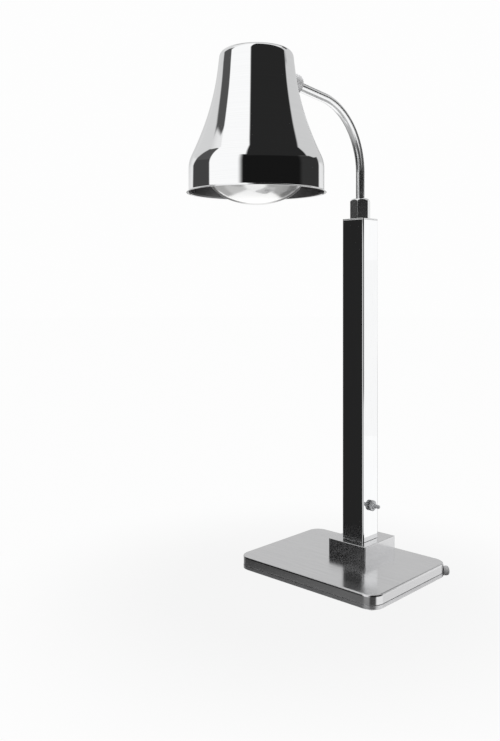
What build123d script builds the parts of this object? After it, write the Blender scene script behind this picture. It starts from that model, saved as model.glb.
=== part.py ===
from build123d import *
import os
from math import atan, cos, degrees, radians, sin, sqrt, tan

# Food heat lamp, in millimetres. +Z is up, the front is towards -Y, and the origin is on the table
# under the middle of the lamp's outline. A bell shade hangs on a bent arm, on a post that slides on a mast.

# Fits
running_fit = 0.05
slide_fit = 0.1
seat_gap = 0.3
screw_room = 0.25

# Base
base_width = 227.0
base_depth = 175.0
base_height = 20.4
base_corner = 18.0
cover_wall = 1.2
cover_bend = 2.5
plate_thickness = 5.0
plate_chamfer = 0.6
seam_gap = 0.8
rim_height = 2.5
rim_width = 3.0

# Rubber feet under the base
pad_diameter = 14.0
pad_height = 2.5
pad_inset = 14.0
pad_stem = 5.0
pad_barb = 6.4
pad_barb_height = 2.0

# Cover posts and their screws
cover_post_diameter = 9.0
cover_post_inset = 24.0
cover_screw_diameter = 4.0
cover_screw_head = 7.6
cover_screw_grip = 7.0

# Foot box, flange and mast
post_back = 44.5
foot_width = 62.0
foot_front = 32.0
foot_inset = 4.0
foot_height = 18.0
foot_wall = 1.5
foot_edge = 0.8
mast_size = 25.0
mast_wall = 1.5
mast_corner = 2.0
mast_length = 300.0
flange_thickness = 6.0
flange_margin = 7.0
bolt_diameter = 5.0
bolt_head = 9.6
bolt_end = 1.5
bolt_from_mast = 6.2
nut_flats = 8.0
nut_height = 4.0
spacer_diameter = 9.0
foot_screw_diameter = 3.0
foot_screw_head = 5.5
foot_screw_head_height = 1.2
foot_screw_length = 8.0
foot_screw_spread = 30.0
guide_plug = 15.0
guide_flange = 5.0

# Wiring in the base
lead_diameter = 5.0
lead_room = 0.5
lead_bend = 12.0
grommet_wall = 2.0
grommet_lip = 1.2
block_length = 34.0
block_depth = 16.0
block_room = 1.7
block_from_post = 45.0
block_ways = 3
block_screw_diameter = 3.0
block_screw_head = 5.0
terminal_screw_diameter = 3.5
terminal_screw_height = 2.0
earth_stud_diameter = 4.0
earth_stud_room = 2.7
earth_nut_flats = 7.0
earth_nut_height = 3.2
earth_from_block = 18.0

# Cord gland on the seam, at the rear right corner
gland_bore = 6.2
gland_neck = 8.0
gland_dome = 12.5
gland_dome_length = 8.0
gland_dome_round = 3.0
gland_flange = 9.6
gland_flange_length = 2.2

# Post and its clamp
post_gap = 4.0
post_wall = 1.5
post_corner = 2.0
post_length = 449.3
cap_thickness = 1.5
cap_skirt = 8.0
cap_skirt_wall = 2.0
post_guide_height = 13.0
clamp_height = 48.5
clamp_diameter = 5.0
clamp_nut_size = 10.0
clamp_nut_room = 0.6
clamp_pad_diameter = 4.4
clamp_pad_length = 2.5
stud_reach = 14.4
wheel_diameter = 14.5
wheel_thickness = 3.5
wheel_gap = 1.0
wheel_hub_diameter = 8.5
wheel_hub_length = 2.5
wheel_flutes = 20
wheel_flute_radius = 0.7

# Arm and its swivel
collar_wall = 6.45
collar_height = 28.5
collar_chamfer = 1.6
collar_turn = -8.5
collar_ledge = 6.0
spigot_diameter = 14.0
spigot_length = 10.0
collar_nut_flats = 20.0
collar_nut_height = 6.0
tube_diameter = 12.5
tube_wall = 1.25
pivot_height = 12.0
pivot_plug = 14.0
stop_screw_diameter = 4.0
stop_screw_up = 6.0
groove_depth = 1.2
swivel_each_way = 90.0
arm_rise = 65.0
bend_radius = 93.0
bend_angle = 84.0
shade_reach = 216.0

# Boss and nipple between arm and shade
boss_diameter = 27.4
boss_from_shade = 25.6
boss_round = 1.5
socket_depth = 12.0
nipple_diameter = 10.0
saddle_diameter = 22.0
nipple_nut_flats = 14.0
nipple_nut_height = 4.0
nipple_end = 1.5

# Shade, from its top down
shade_above_arm = 22.3
shade_height = 174.9
shade_wall = 1.0
crown_drop = 3.0
crown_round = 9.0
neck_taper = 5.75
neck_drop = 52.2
neck_radius = 50.2
neck_round = 320.0
neck_round_share = 0.64
flare_hollow = 2.2
skirt_radius = 82.4
skirt_height = 36.8
shoulder_round = 38.0
lip_height = 1.6
lip_flare = 3.0
lip_round = 1.5

# Reflector bulb
bulb_diameter = 125.0
bulb_length = 163.9
bulb_face_height = 40.0
glass_wall = 1.5
glass_in_cap = 10.0
cap_diameter = 26.2
cap_wall = 0.6
cap_length = 26.5
insulator_height = 3.0
insulator_edge = 1.5
tip_height = 1.2
tip_radius = 4.5
stem_radius = 4.0
stem_flare = 2.0
stem_length = 48.0
filament_radius = 12.0
filament_wire = 1.4
filament_drop = 12.0
filament_leads = 4.0

# Lamp holder and its bracket
holder_below_top = 9.0
holder_diameter = 42.0
holder_depth = 26.0
holder_base = 16.0
holder_chamfer = 2.0
shell_wall = 0.6
shell_height = 20.0
contact_radius = 5.0
contact_height = 1.0
bracket_clear = 6.0
bracket_thickness = 2.0
bracket_width = 18.0
bracket_below = 11.0
bracket_past_axis = 14.0
bracket_screw_diameter = 4.0
bracket_screw_head = 7.0
bracket_screw_head_height = 2.6
bracket_screw_length = 9.0
bracket_screw_spread = 18.0

# Heights and places in the base
plate_top = pad_height + plate_thickness
cover_bottom = plate_top + seam_gap
cover_inside = base_height - cover_wall
seam_height = (plate_top + cover_bottom) / 2
block_height = cover_inside - plate_top - block_room
earth_stud_height = cover_inside - plate_top - earth_stud_room
lead_height = plate_top + block_height / 2
foot_top = base_height + foot_height
foot_back = post_back - foot_inset
mast_top = foot_top + mast_length

# Heights and places on the post
post_inside = mast_size / 2 + post_gap
post_size = 2 * (post_inside + post_wall)
post_bottom = foot_top + seat_gap
post_top = post_bottom + post_length
spigot_bottom = post_top - cap_thickness - spigot_length
ledge_top = post_top + collar_ledge
pivot_bottom = ledge_top + slide_fit
tube_bottom = pivot_bottom + pivot_height
stop_height = pivot_bottom + stop_screw_up

# The arm's bend, and the height at which its end line meets the shade's axis
arm_tilt = radians(90 - bend_angle)
bend_start = post_top + arm_rise
bend_run = bend_radius * (1 - cos(radians(bend_angle)))
bend_end = bend_start + bend_radius * sin(radians(bend_angle))
arm_at_axis = bend_end + (shade_reach - bend_run) * tan(arm_tilt)

# Heights in the shade
shade_top = arm_at_axis + shade_above_arm
shade_bottom = shade_top - shade_height
lip_radius = skirt_radius + lip_flare
crown_radius = neck_radius - neck_taper
holder_top = shade_top - holder_below_top
cap_end = holder_top - holder_base
holder_bottom = cap_end - holder_depth
cap_bottom = cap_end - cap_length
bulb_face = cap_end - bulb_length

# Places along Y, from the lip's front edge to the base's back edge
post_y = (shade_reach + lip_radius - post_back) / 2
base_y = post_y + post_back - base_depth / 2
shade_y = post_y - shade_reach

# Bores and diameters that follow from others
tube_bore = tube_diameter - 2 * tube_wall
lead_bore = lead_diameter + 2 * lead_room
nipple_bore = lead_diameter + 4 * lead_room
grommet_bore = 2 * lead_diameter
collar_flats = tube_diameter + 2 * collar_wall
collar_corner = collar_flats / sqrt(3)
glass_neck_radius = cap_diameter / 2 - cap_wall - 2 * slide_fit

# Distances along the arm's end, out from the shade's axis
boss_end = (neck_radius + boss_from_shade) / cos(arm_tilt)
tube_end = boss_end - socket_depth
saddle_seat = crown_radius - shade_wall - bracket_clear
bracket_face = saddle_seat - bracket_thickness
nipple_inner_end = bracket_face - nipple_nut_height - nipple_end

post_axis = Axis((0, post_y, 0), (0, 0, 1))
shade_axis = Axis((0, shade_y, 0), (0, 0, 1))

# Section through the shade's axis: across is +X and up is +Z
shade_section = Plane((0, shade_y, 0), x_dir=(1, 0, 0), z_dir=(0, -1, 0))
# Section along the arm: across is forward from the post and up is +Z
arm_section = Plane((0, post_y, 0), x_dir=(0, -1, 0), z_dir=(-1, 0, 0))
# Square to the arm's end, starting on the shade's axis and leaving through the back of the shade
arm_end = Plane((0, shade_y, arm_at_axis), x_dir=(1, 0, 0), z_dir=(0, cos(arm_tilt), -sin(arm_tilt)))

on_base = (Align.CENTER, Align.CENTER, Align.MIN)

os.makedirs("parts", exist_ok=True)


def finish(piece, label):
    """Name a finished piece and write it."""
    piece.part.label = label
    export_step(piece.part, f"parts/{label}.step")


def base_spots(inset):
    """Four points, each the same distance in from two sides of the base."""
    across = base_width / 2 - inset
    along = base_depth / 2 - inset
    return [(i * across, base_y + j * along) for i in (-1, 1) for j in (-1, 1)]


def at_height(spots, height):
    """The same points, all at one height."""
    return [(x, y, height) for x, y in spots]


def facing_down(spots, height):
    """Planes at the points, facing down."""
    return [Plane((x, y, height), z_dir=(0, 0, -1)) for x, y in spots]


def post_level(height):
    """Level plane on the post's axis."""
    return Plane((0, post_y, height))


def shade_level(height):
    """Level plane on the shade's axis."""
    return Plane((0, shade_y, height))


def post_rear(distance, height):
    """Plane that faces back, at a distance behind the post's axis."""
    return Plane((0, post_y + distance, height), x_dir=(1, 0, 0), z_dir=(0, 1, 0))


def collar_back(distance):
    """Plane on the collar's back flat, at a distance from the post's axis and at the stop screw's height."""
    turn = radians(90 + collar_turn)
    spot = (distance * cos(turn), post_y + distance * sin(turn), stop_height)
    return Plane(spot, x_dir=(0, 0, 1), z_dir=(cos(turn), sin(turn), 0))


def clamp_plane(distance):
    """Plane square to the clamp screw, at a distance from the post's axis."""
    return Plane((distance, post_y, post_bottom + clamp_height), x_dir=(0, 1, 0), z_dir=(1, 0, 0))


def arm_point(distance, lift):
    """Point of the arm's section: out along the arm's end from the shade's axis, and up from it."""
    across = shade_reach - distance * cos(arm_tilt) - lift * sin(arm_tilt)
    return (across, arm_at_axis - distance * sin(arm_tilt) + lift * cos(arm_tilt))


def arm_point_at(distance, height):
    """Point of the arm's section at a distance along the arm's end and at a height."""
    return arm_point(distance, (height - arm_at_axis + distance * sin(arm_tilt)) / cos(arm_tilt))


def largest_neck_round(crown, neck, shoulder):
    """Largest rounding between the neck's straight run and the flare that takes up only a share of that run."""
    run = Vector(neck) - Vector(crown)
    chord = Vector(shoulder) - Vector(neck)
    flare_radius = (chord.length**2 / 4 + flare_hollow**2) / (2 * flare_hollow)
    outward = Vector(-chord.Y, chord.X).normalized()
    flare_centre = Vector(neck) + chord * 0.5 + outward * (flare_radius - flare_hollow)
    start = Vector(neck) - run * neck_round_share - flare_centre
    aside = start.dot(Vector(-run.Y, run.X).normalized())
    return (flare_radius**2 - start.length**2) / (2 * (flare_radius + aside))


def bell(inset):
    """Solid form of the bell, drawn in from its outer face by the given amount."""
    crown = (crown_radius - inset, shade_top - crown_drop - inset)
    neck = (neck_radius - inset, shade_top - neck_drop)
    shoulder = (skirt_radius - inset, shade_bottom + skirt_height)
    neck_fillet = min(neck_round, largest_neck_round(crown, neck, shoulder))
    lip_lean = atan(lip_flare / lip_height)
    lip_start = (skirt_radius - inset, shade_bottom + lip_height - inset * tan(lip_lean / 2))
    lip = (lip_radius - inset / cos(lip_lean), shade_bottom)
    with BuildPart() as form:
        with BuildSketch(shade_section) as outline:
            with BuildLine():
                Polyline((0, shade_top - inset), crown, neck)
                SagittaArc(neck, shoulder, -flare_hollow)
                Polyline(shoulder, lip_start, lip, (0, shade_bottom), (0, shade_top - inset))
            make_face()
            fillet(outline.vertices().sort_by_distance(crown)[0], crown_round - inset)
            fillet(outline.vertices().sort_by_distance(neck)[0], neck_fillet)
            fillet(outline.vertices().sort_by_distance(shoulder)[0], shoulder_round)
            fillet(outline.vertices().sort_by_distance(lip_start)[0], lip_round + inset)
        revolve(axis=shade_axis)
    return form.part


def bulb_form(inset):
    """Solid form of the bulb's glass, drawn in from its outer face by the given amount."""
    widest = bulb_diameter / 2
    turn_start = bulb_face + bulb_face_height
    turn_rise = cap_bottom - turn_start
    turn = 2 * atan((widest - glass_neck_radius) / turn_rise)
    turn_radius = turn_rise / (2 * sin(turn))
    neck_top = cap_bottom + glass_in_cap
    with BuildPart() as form:
        with BuildSketch(shade_section):
            with BuildLine():
                EllipticalCenterArc((0, turn_start), widest - inset, bulb_face_height - inset, 270, arc_size=90)
                inward = JernArc((widest - inset, turn_start), (0, 1), turn_radius, degrees(turn))
                upward = JernArc(inward @ 1, inward % 1, turn_radius, -degrees(turn))
                Polyline(upward @ 1, (glass_neck_radius - inset, neck_top), (0, neck_top))
                Line((0, neck_top), (0, bulb_face + inset))
            make_face()
        revolve(axis=shade_axis)
    return form.part


# Points in the base
gland_axis = (sqrt(0.5), sqrt(0.5), 0)
gland_spot = (base_width / 2 - base_corner, base_y + base_depth / 2 - base_corner, seam_height)
gland_plane = Plane(gland_spot, x_dir=(-sqrt(0.5), sqrt(0.5), 0), z_dir=gland_axis)
gland_seat = sqrt((base_corner - cover_wall) ** 2 - (gland_flange / 2) ** 2) - seat_gap
gland_start = base_corner + slide_fit
bolt_offset = mast_size / 2 + bolt_from_mast
bolt_spots = [(i * bolt_offset, post_y + j * bolt_offset) for i in (-1, 1) for j in (-1, 1)]
pad_spots = base_spots(pad_inset)
cover_post_spots = base_spots(cover_post_inset)
block_spot = (block_from_post + block_length / 2, post_y)
earth_spot = (block_from_post + block_length / 2, post_y - earth_from_block)

# Base plate: ballast slab with a rim that the cover drops over
with BuildPart() as base_plate:
    with BuildSketch(Plane((0, base_y, pad_height))):
        RectangleRounded(base_width, base_depth, base_corner)
    extrude(amount=plate_thickness)
    chamfer(base_plate.faces().sort_by(Axis.Z)[0].edges(), plate_chamfer)
    rim_out = cover_wall + slide_fit
    rim_in = rim_out + rim_width
    with BuildSketch(Plane((0, base_y, plate_top))):
        RectangleRounded(base_width - 2 * rim_out, base_depth - 2 * rim_out, base_corner - rim_out)
        RectangleRounded(
            base_width - 2 * rim_in, base_depth - 2 * rim_in, base_corner - rim_in, mode=Mode.SUBTRACT
        )
    extrude(amount=rim_height)
    with Locations(*at_height(pad_spots, plate_top)):
        Hole(pad_stem / 2 + running_fit)
    with Locations(*facing_down(bolt_spots, pad_height)):
        CounterSinkHole(bolt_diameter / 2 + screw_room, bolt_head / 2 + screw_room, counter_sink_angle=90)
    with Locations(*facing_down(cover_post_spots, pad_height)):
        CounterSinkHole(
            cover_screw_diameter / 2 + screw_room, cover_screw_head / 2 + screw_room, counter_sink_angle=90
        )
    with Locations((*block_spot, plate_top)):
        Hole(block_screw_diameter / 2 + running_fit)
    with BuildSketch(gland_plane.offset(gland_seat)):
        Circle(gland_neck / 2 + running_fit)
    extrude(amount=base_corner, mode=Mode.SUBTRACT)
    with BuildSketch(gland_plane.offset(gland_seat)):
        Circle(gland_flange / 2 + slide_fit)
    extrude(amount=-(gland_flange_length + seat_gap), mode=Mode.SUBTRACT)
finish(base_plate, "base_plate")

# Base cover: folded tray with a bent top edge, open below
with BuildPart() as base_cover:
    with BuildSketch(Plane((0, base_y, cover_bottom))):
        RectangleRounded(base_width, base_depth, base_corner)
    extrude(amount=base_height - cover_bottom)
    fillet(base_cover.faces().sort_by(Axis.Z)[-1].edges(), cover_bend)
    offset(amount=-cover_wall, openings=base_cover.faces().sort_by(Axis.Z)[0])
    with Locations((0, post_y, base_height)):
        Hole(grommet_bore / 2 + grommet_wall)
    with Locations(*at_height(bolt_spots, base_height)):
        Hole(bolt_diameter / 2 + screw_room)
    with BuildSketch(gland_plane.offset(gland_seat)):
        Circle(gland_neck / 2 + running_fit)
    extrude(amount=base_corner, mode=Mode.SUBTRACT)
finish(base_cover, "base_cover")

# Rubber feet, pushed into the plate and held by a barb
with BuildPart() as rubber_feet:
    with Locations(*at_height(pad_spots, 0)):
        Cylinder(pad_diameter / 2, pad_height, align=on_base)
        Cylinder(pad_stem / 2, plate_top + running_fit, align=on_base)
    with Locations(*at_height(pad_spots, plate_top + running_fit)):
        Cone(pad_barb / 2, pad_stem / 2, pad_barb_height, align=on_base)
finish(rubber_feet, "rubber_feet")

# Cover posts under the cover's top, with countersunk screws from below
with BuildPart() as cover_posts:
    with BuildSketch(Plane.XY.offset(plate_top)):
        with Locations(*cover_post_spots):
            Circle(cover_post_diameter / 2)
    extrude(amount=cover_inside - plate_top)
    with BuildSketch(Plane.XY.offset(plate_top)):
        with Locations(*cover_post_spots):
            Circle(cover_screw_diameter / 2 + running_fit)
    extrude(amount=cover_screw_grip + seat_gap, mode=Mode.SUBTRACT)
finish(cover_posts, "cover_posts")

with BuildPart() as cover_screws:
    cover_screw_cone = (cover_screw_head - cover_screw_diameter) / 2
    with Locations(*at_height(cover_post_spots, pad_height)):
        Cone(cover_screw_head / 2, cover_screw_diameter / 2, cover_screw_cone, align=on_base)
        Cylinder(cover_screw_diameter / 2, plate_thickness + cover_screw_grip, align=on_base)
finish(cover_screws, "cover_screws")

# Flange that carries the mast, bolted through the cover and the plate
flange_side = bolt_offset + flange_margin
flange_back = foot_back - foot_wall - slide_fit
foot_screw_height = base_height + flange_thickness / 2
foot_screw_spots = [(-foot_screw_spread / 2, 0), (foot_screw_spread / 2, 0)]

with BuildPart() as mast_flange:
    with BuildSketch(post_level(base_height)):
        with Locations((0, (flange_back - flange_side) / 2)):
            Rectangle(2 * flange_side, flange_back + flange_side)
        Rectangle(mast_size + 2 * running_fit, mast_size + 2 * running_fit, mode=Mode.SUBTRACT)
    extrude(amount=flange_thickness)
    with Locations(*at_height(bolt_spots, base_height + flange_thickness)):
        Hole(bolt_diameter / 2 + screw_room)
    with BuildSketch(post_rear(flange_back, foot_screw_height)):
        with Locations(*foot_screw_spots):
            Circle(foot_screw_diameter / 2 + running_fit)
    extrude(amount=-foot_screw_length, mode=Mode.SUBTRACT)
finish(mast_flange, "mast_flange")

with BuildPart() as flange_bolts:
    bolt_length = base_height + flange_thickness + nut_height + bolt_end - pad_height
    with Locations(*at_height(bolt_spots, pad_height)):
        Cone(bolt_head / 2, bolt_diameter / 2, (bolt_head - bolt_diameter) / 2, align=on_base)
        Cylinder(bolt_diameter / 2, bolt_length, align=on_base)
finish(flange_bolts, "flange_bolts")

with BuildPart() as flange_spacers:
    with BuildSketch(Plane.XY.offset(plate_top)):
        with Locations(*bolt_spots):
            Circle(spacer_diameter / 2)
            Circle(bolt_diameter / 2 + screw_room, mode=Mode.SUBTRACT)
    extrude(amount=cover_inside - plate_top)
finish(flange_spacers, "flange_spacers")

with BuildPart() as flange_nuts:
    with BuildSketch(Plane.XY.offset(base_height + flange_thickness)):
        with Locations(*bolt_spots):
            RegularPolygon(nut_flats / 2, 6, major_radius=False)
            Circle(bolt_diameter / 2 + running_fit, mode=Mode.SUBTRACT)
    extrude(amount=nut_height)
finish(flange_nuts, "flange_nuts")

# Mast: the inner square tube
with BuildPart() as mast:
    with BuildSketch(post_level(base_height)):
        RectangleRounded(mast_size, mast_size, mast_corner)
        Rectangle(mast_size - 2 * mast_wall, mast_size - 2 * mast_wall, mode=Mode.SUBTRACT)
    extrude(amount=mast_top - base_height)
finish(mast, "mast")

# Foot box over the flange, held by two screws at its back
with BuildPart() as post_foot:
    with BuildSketch(post_level(base_height)):
        with Locations((0, (foot_back - foot_front) / 2)):
            Rectangle(foot_width, foot_back + foot_front)
    extrude(amount=foot_height)
    fillet(post_foot.edges().filter_by(Axis.Z), foot_edge)
    fillet(post_foot.faces().sort_by(Axis.Z)[-1].edges(), foot_edge)
    with BuildSketch(post_level(base_height)):
        with Locations((0, (foot_back - foot_front) / 2)):
            Rectangle(foot_width - 2 * foot_wall, foot_back + foot_front - 2 * foot_wall)
    extrude(amount=foot_height - foot_wall, mode=Mode.SUBTRACT)
    with BuildSketch(post_level(foot_top)):
        Rectangle(mast_size + 2 * seat_gap, mast_size + 2 * seat_gap)
    extrude(amount=-foot_height, mode=Mode.SUBTRACT)
    with BuildSketch(post_rear(foot_back, foot_screw_height)):
        with Locations(*foot_screw_spots):
            Circle(foot_screw_diameter / 2 + screw_room)
    extrude(amount=-2 * foot_wall, mode=Mode.SUBTRACT)
finish(post_foot, "post_foot")

with BuildPart() as foot_screws:
    with BuildSketch(post_rear(foot_back, foot_screw_height)):
        with Locations(*foot_screw_spots):
            Circle(foot_screw_head / 2)
    extrude(amount=foot_screw_head_height)
    with BuildSketch(post_rear(foot_back, foot_screw_height)):
        with Locations(*foot_screw_spots):
            Circle(foot_screw_diameter / 2)
    extrude(amount=-foot_screw_length)
finish(foot_screws, "foot_screws")

# Slide at the mast's top: a flange that fills the post and a plug in the mast
with BuildPart() as mast_guide:
    guide_size = 2 * (post_inside - slide_fit)
    plug_size = mast_size - 2 * mast_wall - 2 * running_fit
    with BuildSketch(post_level(mast_top)):
        Rectangle(guide_size, guide_size)
    extrude(amount=guide_flange)
    with BuildSketch(post_level(mast_top)):
        Rectangle(plug_size, plug_size)
    extrude(amount=-guide_plug)
    with Locations((0, post_y, mast_top)):
        Hole(lead_bore / 2)
finish(mast_guide, "mast_guide")

# Wiring in the base: grommet, terminal block, earth stud and the lead up the mast
with BuildPart() as wire_grommet:
    grommet_radius = grommet_bore / 2 + grommet_wall
    with BuildSketch(post_level(cover_inside)):
        Circle(grommet_radius - running_fit)
    extrude(amount=cover_wall)
    with BuildSketch(post_level(cover_inside)):
        Circle(grommet_radius + grommet_lip)
    extrude(amount=-grommet_lip)
    with Locations((0, post_y, cover_inside)):
        Hole(grommet_bore / 2)
finish(wire_grommet, "wire_grommet")

block_top = plate_top + block_height
way_pitch = block_length / block_ways
way_start = block_from_post + way_pitch / 2
way_spots = [(way_start + i * way_pitch, post_y + block_depth / 3) for i in range(block_ways)]

with BuildPart() as terminal_block:
    with BuildSketch(Plane((*block_spot, plate_top))):
        Rectangle(block_length, block_depth)
    extrude(amount=block_height)
    with Locations((*block_spot, block_top)):
        CounterBoreHole(
            block_screw_diameter / 2 + screw_room, block_screw_head / 2 + screw_room, block_height / 2
        )
    with Locations(*at_height(way_spots, block_top)):
        Hole(terminal_screw_diameter / 2 + running_fit, depth=terminal_screw_height)
finish(terminal_block, "terminal_block")

with BuildPart() as terminal_screws:
    with BuildSketch(Plane.XY.offset(block_top)):
        with Locations(*way_spots):
            Circle(terminal_screw_diameter / 2)
    extrude(amount=-terminal_screw_height)
finish(terminal_screws, "terminal_screws")

with BuildPart() as block_screw:
    with BuildSketch(Plane((*block_spot, block_top - block_height / 2))):
        Circle(block_screw_head / 2)
    extrude(amount=block_height / 4)
    with BuildSketch(Plane((*block_spot, pad_height + plate_chamfer))):
        Circle(block_screw_diameter / 2)
    extrude(amount=plate_thickness - plate_chamfer + block_height / 2)
finish(block_screw, "block_screw")

with BuildPart() as earth_stud:
    with BuildSketch(Plane((*earth_spot, plate_top))):
        Circle(earth_stud_diameter / 2)
    extrude(amount=earth_stud_height)
finish(earth_stud, "earth_stud")

with BuildPart() as earth_nut:
    with BuildSketch(Plane((*earth_spot, plate_top))):
        RegularPolygon(earth_nut_flats / 2, 6, major_radius=False)
        Circle(earth_stud_diameter / 2 + running_fit, mode=Mode.SUBTRACT)
    extrude(amount=earth_nut_height)
finish(earth_nut, "earth_nut")

with BuildPart() as base_lead:
    with BuildLine(Plane((0, post_y, 0), x_dir=(1, 0, 0), z_dir=(0, -1, 0))) as base_lead_path:
        level = Line((block_from_post - running_fit, lead_height), (lead_bend, lead_height))
        turn_up = JernArc(level @ 1, (-1, 0), lead_bend, -90)
        Line(turn_up @ 1, (0, mast_top + guide_flange))
    with BuildSketch(Plane(base_lead_path.line @ 0, z_dir=base_lead_path.line % 0)):
        Circle(lead_diameter / 2)
    sweep()
finish(base_lead, "base_lead")

# Cord gland: a rubber bush held in the seam between cover and plate
with BuildPart() as cord_gland:
    with BuildSketch(gland_plane.offset(gland_start)):
        Circle(gland_dome / 2)
    extrude(amount=gland_dome_length)
    fillet(cord_gland.faces().sort_by(Axis((0, 0, 0), gland_axis))[-1].edges(), gland_dome_round)
    with BuildSketch(gland_plane.offset(gland_start)):
        Circle(gland_neck / 2)
    extrude(amount=-(gland_start - gland_seat))
    with BuildSketch(gland_plane.offset(gland_seat)):
        Circle(gland_flange / 2)
    extrude(amount=-gland_flange_length)
    with BuildSketch(gland_plane):
        Circle(gland_bore / 2)
    extrude(amount=gland_start + gland_dome_length, mode=Mode.SUBTRACT)
finish(cord_gland, "cord_gland")

# Post: square tube with a cap, a slide at its foot and the clamp's nut inside
with BuildPart() as post:
    with BuildSketch(post_level(post_bottom)):
        RectangleRounded(post_size, post_size, post_corner)
        Rectangle(2 * post_inside, 2 * post_inside, mode=Mode.SUBTRACT)
    extrude(amount=post_length - cap_thickness)
    with BuildSketch(clamp_plane(0)):
        Circle(clamp_diameter / 2 + screw_room)
    extrude(amount=post_size, mode=Mode.SUBTRACT)
finish(post, "post")

with BuildPart() as post_cap:
    cap_plug = 2 * (post_inside - running_fit)
    with BuildSketch(post_level(post_top)):
        RectangleRounded(post_size, post_size, post_corner)
    extrude(amount=-cap_thickness)
    with BuildSketch(post_level(post_top - cap_thickness)):
        Rectangle(cap_plug, cap_plug)
        Rectangle(cap_plug - 2 * cap_skirt_wall, cap_plug - 2 * cap_skirt_wall, mode=Mode.SUBTRACT)
    extrude(amount=-cap_skirt)
    with Locations((0, post_y, post_top)):
        Hole(spigot_diameter / 2 + running_fit)
finish(post_cap, "post_cap")

with BuildPart() as post_guide:
    with BuildSketch(post_level(post_bottom)):
        Rectangle(2 * (post_inside - running_fit), 2 * (post_inside - running_fit))
        Rectangle(mast_size + 2 * slide_fit, mast_size + 2 * slide_fit, mode=Mode.SUBTRACT)
    extrude(amount=post_guide_height)
finish(post_guide, "post_guide")

with BuildPart() as clamp_nut:
    with BuildSketch(clamp_plane(post_inside)):
        Rectangle(clamp_nut_size, clamp_nut_size)
        Circle(clamp_diameter / 2 + running_fit, mode=Mode.SUBTRACT)
    extrude(amount=-(post_gap - clamp_nut_room))
finish(clamp_nut, "clamp_nut")

# Clamp screw: pad at its tip, stud, and fluted thumb wheel fixed on the stud
pad_face = mast_size / 2 + slide_fit
stud_tip = pad_face + clamp_pad_length
wheel_start = post_size / 2 + wheel_gap

with BuildPart() as clamp_pad:
    with BuildSketch(clamp_plane(pad_face)):
        Circle(clamp_pad_diameter / 2)
    extrude(amount=clamp_pad_length)
finish(clamp_pad, "clamp_pad")

with BuildPart() as clamp_screw:
    with BuildSketch(clamp_plane(stud_tip)):
        Circle(clamp_diameter / 2)
    extrude(amount=post_size / 2 + stud_reach - stud_tip)
    chamfer(clamp_screw.faces().sort_by(Axis.X)[-1].edges(), clamp_diameter / 8)
finish(clamp_screw, "clamp_screw")

with BuildPart() as thumb_wheel:
    with BuildSketch(clamp_plane(wheel_start)):
        Circle(wheel_diameter / 2)
        with PolarLocations(wheel_diameter / 2, wheel_flutes):
            Circle(wheel_flute_radius, mode=Mode.SUBTRACT)
    extrude(amount=wheel_thickness)
    with BuildSketch(clamp_plane(wheel_start + wheel_thickness)):
        Circle(wheel_hub_diameter / 2)
    extrude(amount=wheel_hub_length)
    with BuildSketch(clamp_plane(wheel_start)):
        Circle(clamp_diameter / 2 + running_fit)
    extrude(amount=wheel_thickness + wheel_hub_length, mode=Mode.SUBTRACT)
finish(thumb_wheel, "thumb_wheel")

# Arm collar: hexagon with a socket, on the post's cap, held by a nut below, with a stop screw in its back flat
groove_bottom = tube_diameter / 2 - groove_depth
stop_tip = groove_bottom + seat_gap
stop_half_angle = degrees(atan((stop_screw_diameter / 2 + seat_gap) / stop_tip))
groove_arc = 2 * (swivel_each_way + stop_half_angle)

with BuildPart() as arm_collar:
    collar_top = post_top + collar_height
    face_radius = collar_flats / 2 - collar_chamfer
    with BuildSketch(post_level(post_top)):
        RegularPolygon(collar_flats / 2, 6, major_radius=False, rotation=collar_turn)
    extrude(amount=collar_height)
    with BuildSketch(arm_section):
        with BuildLine():
            Polyline(
                (0, post_top),
                (collar_corner, post_top),
                (collar_corner, collar_top - collar_corner + face_radius),
                (face_radius, collar_top),
                (0, collar_top),
                close=True,
            )
        make_face()
    revolve(axis=post_axis, mode=Mode.INTERSECT)
    with BuildSketch(post_level(post_top)):
        Circle(spigot_diameter / 2)
    extrude(amount=-(cap_thickness + spigot_length))
    with Locations((0, post_y, collar_top)):
        CounterBoreHole(lead_bore / 2, tube_diameter / 2 + running_fit, collar_height - collar_ledge)
    with BuildSketch(collar_back(0)):
        Circle(stop_screw_diameter / 2 + running_fit)
    extrude(amount=collar_flats, mode=Mode.SUBTRACT)
finish(arm_collar, "arm_collar")

with BuildPart() as collar_nut:
    with BuildSketch(post_level(post_top - cap_thickness)):
        RegularPolygon(collar_nut_flats / 2, 6, major_radius=False)
        Circle(spigot_diameter / 2 + running_fit, mode=Mode.SUBTRACT)
    extrude(amount=-collar_nut_height)
finish(collar_nut, "collar_nut")

with BuildPart() as swivel_stop_screw:
    with BuildSketch(collar_back(stop_tip)):
        Circle(stop_screw_diameter / 2)
    extrude(amount=collar_flats / 2 - seat_gap - stop_tip)
finish(swivel_stop_screw, "swivel_stop_screw")

# Arm pivot: brass foot of the tube, with a groove that the stop screw runs in
groove_from = radians(90 + collar_turn - groove_arc / 2)
groove_plane = Plane(
    (0, post_y, stop_height),
    x_dir=(cos(groove_from), sin(groove_from), 0),
    z_dir=(sin(groove_from), -cos(groove_from), 0),
)

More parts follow.
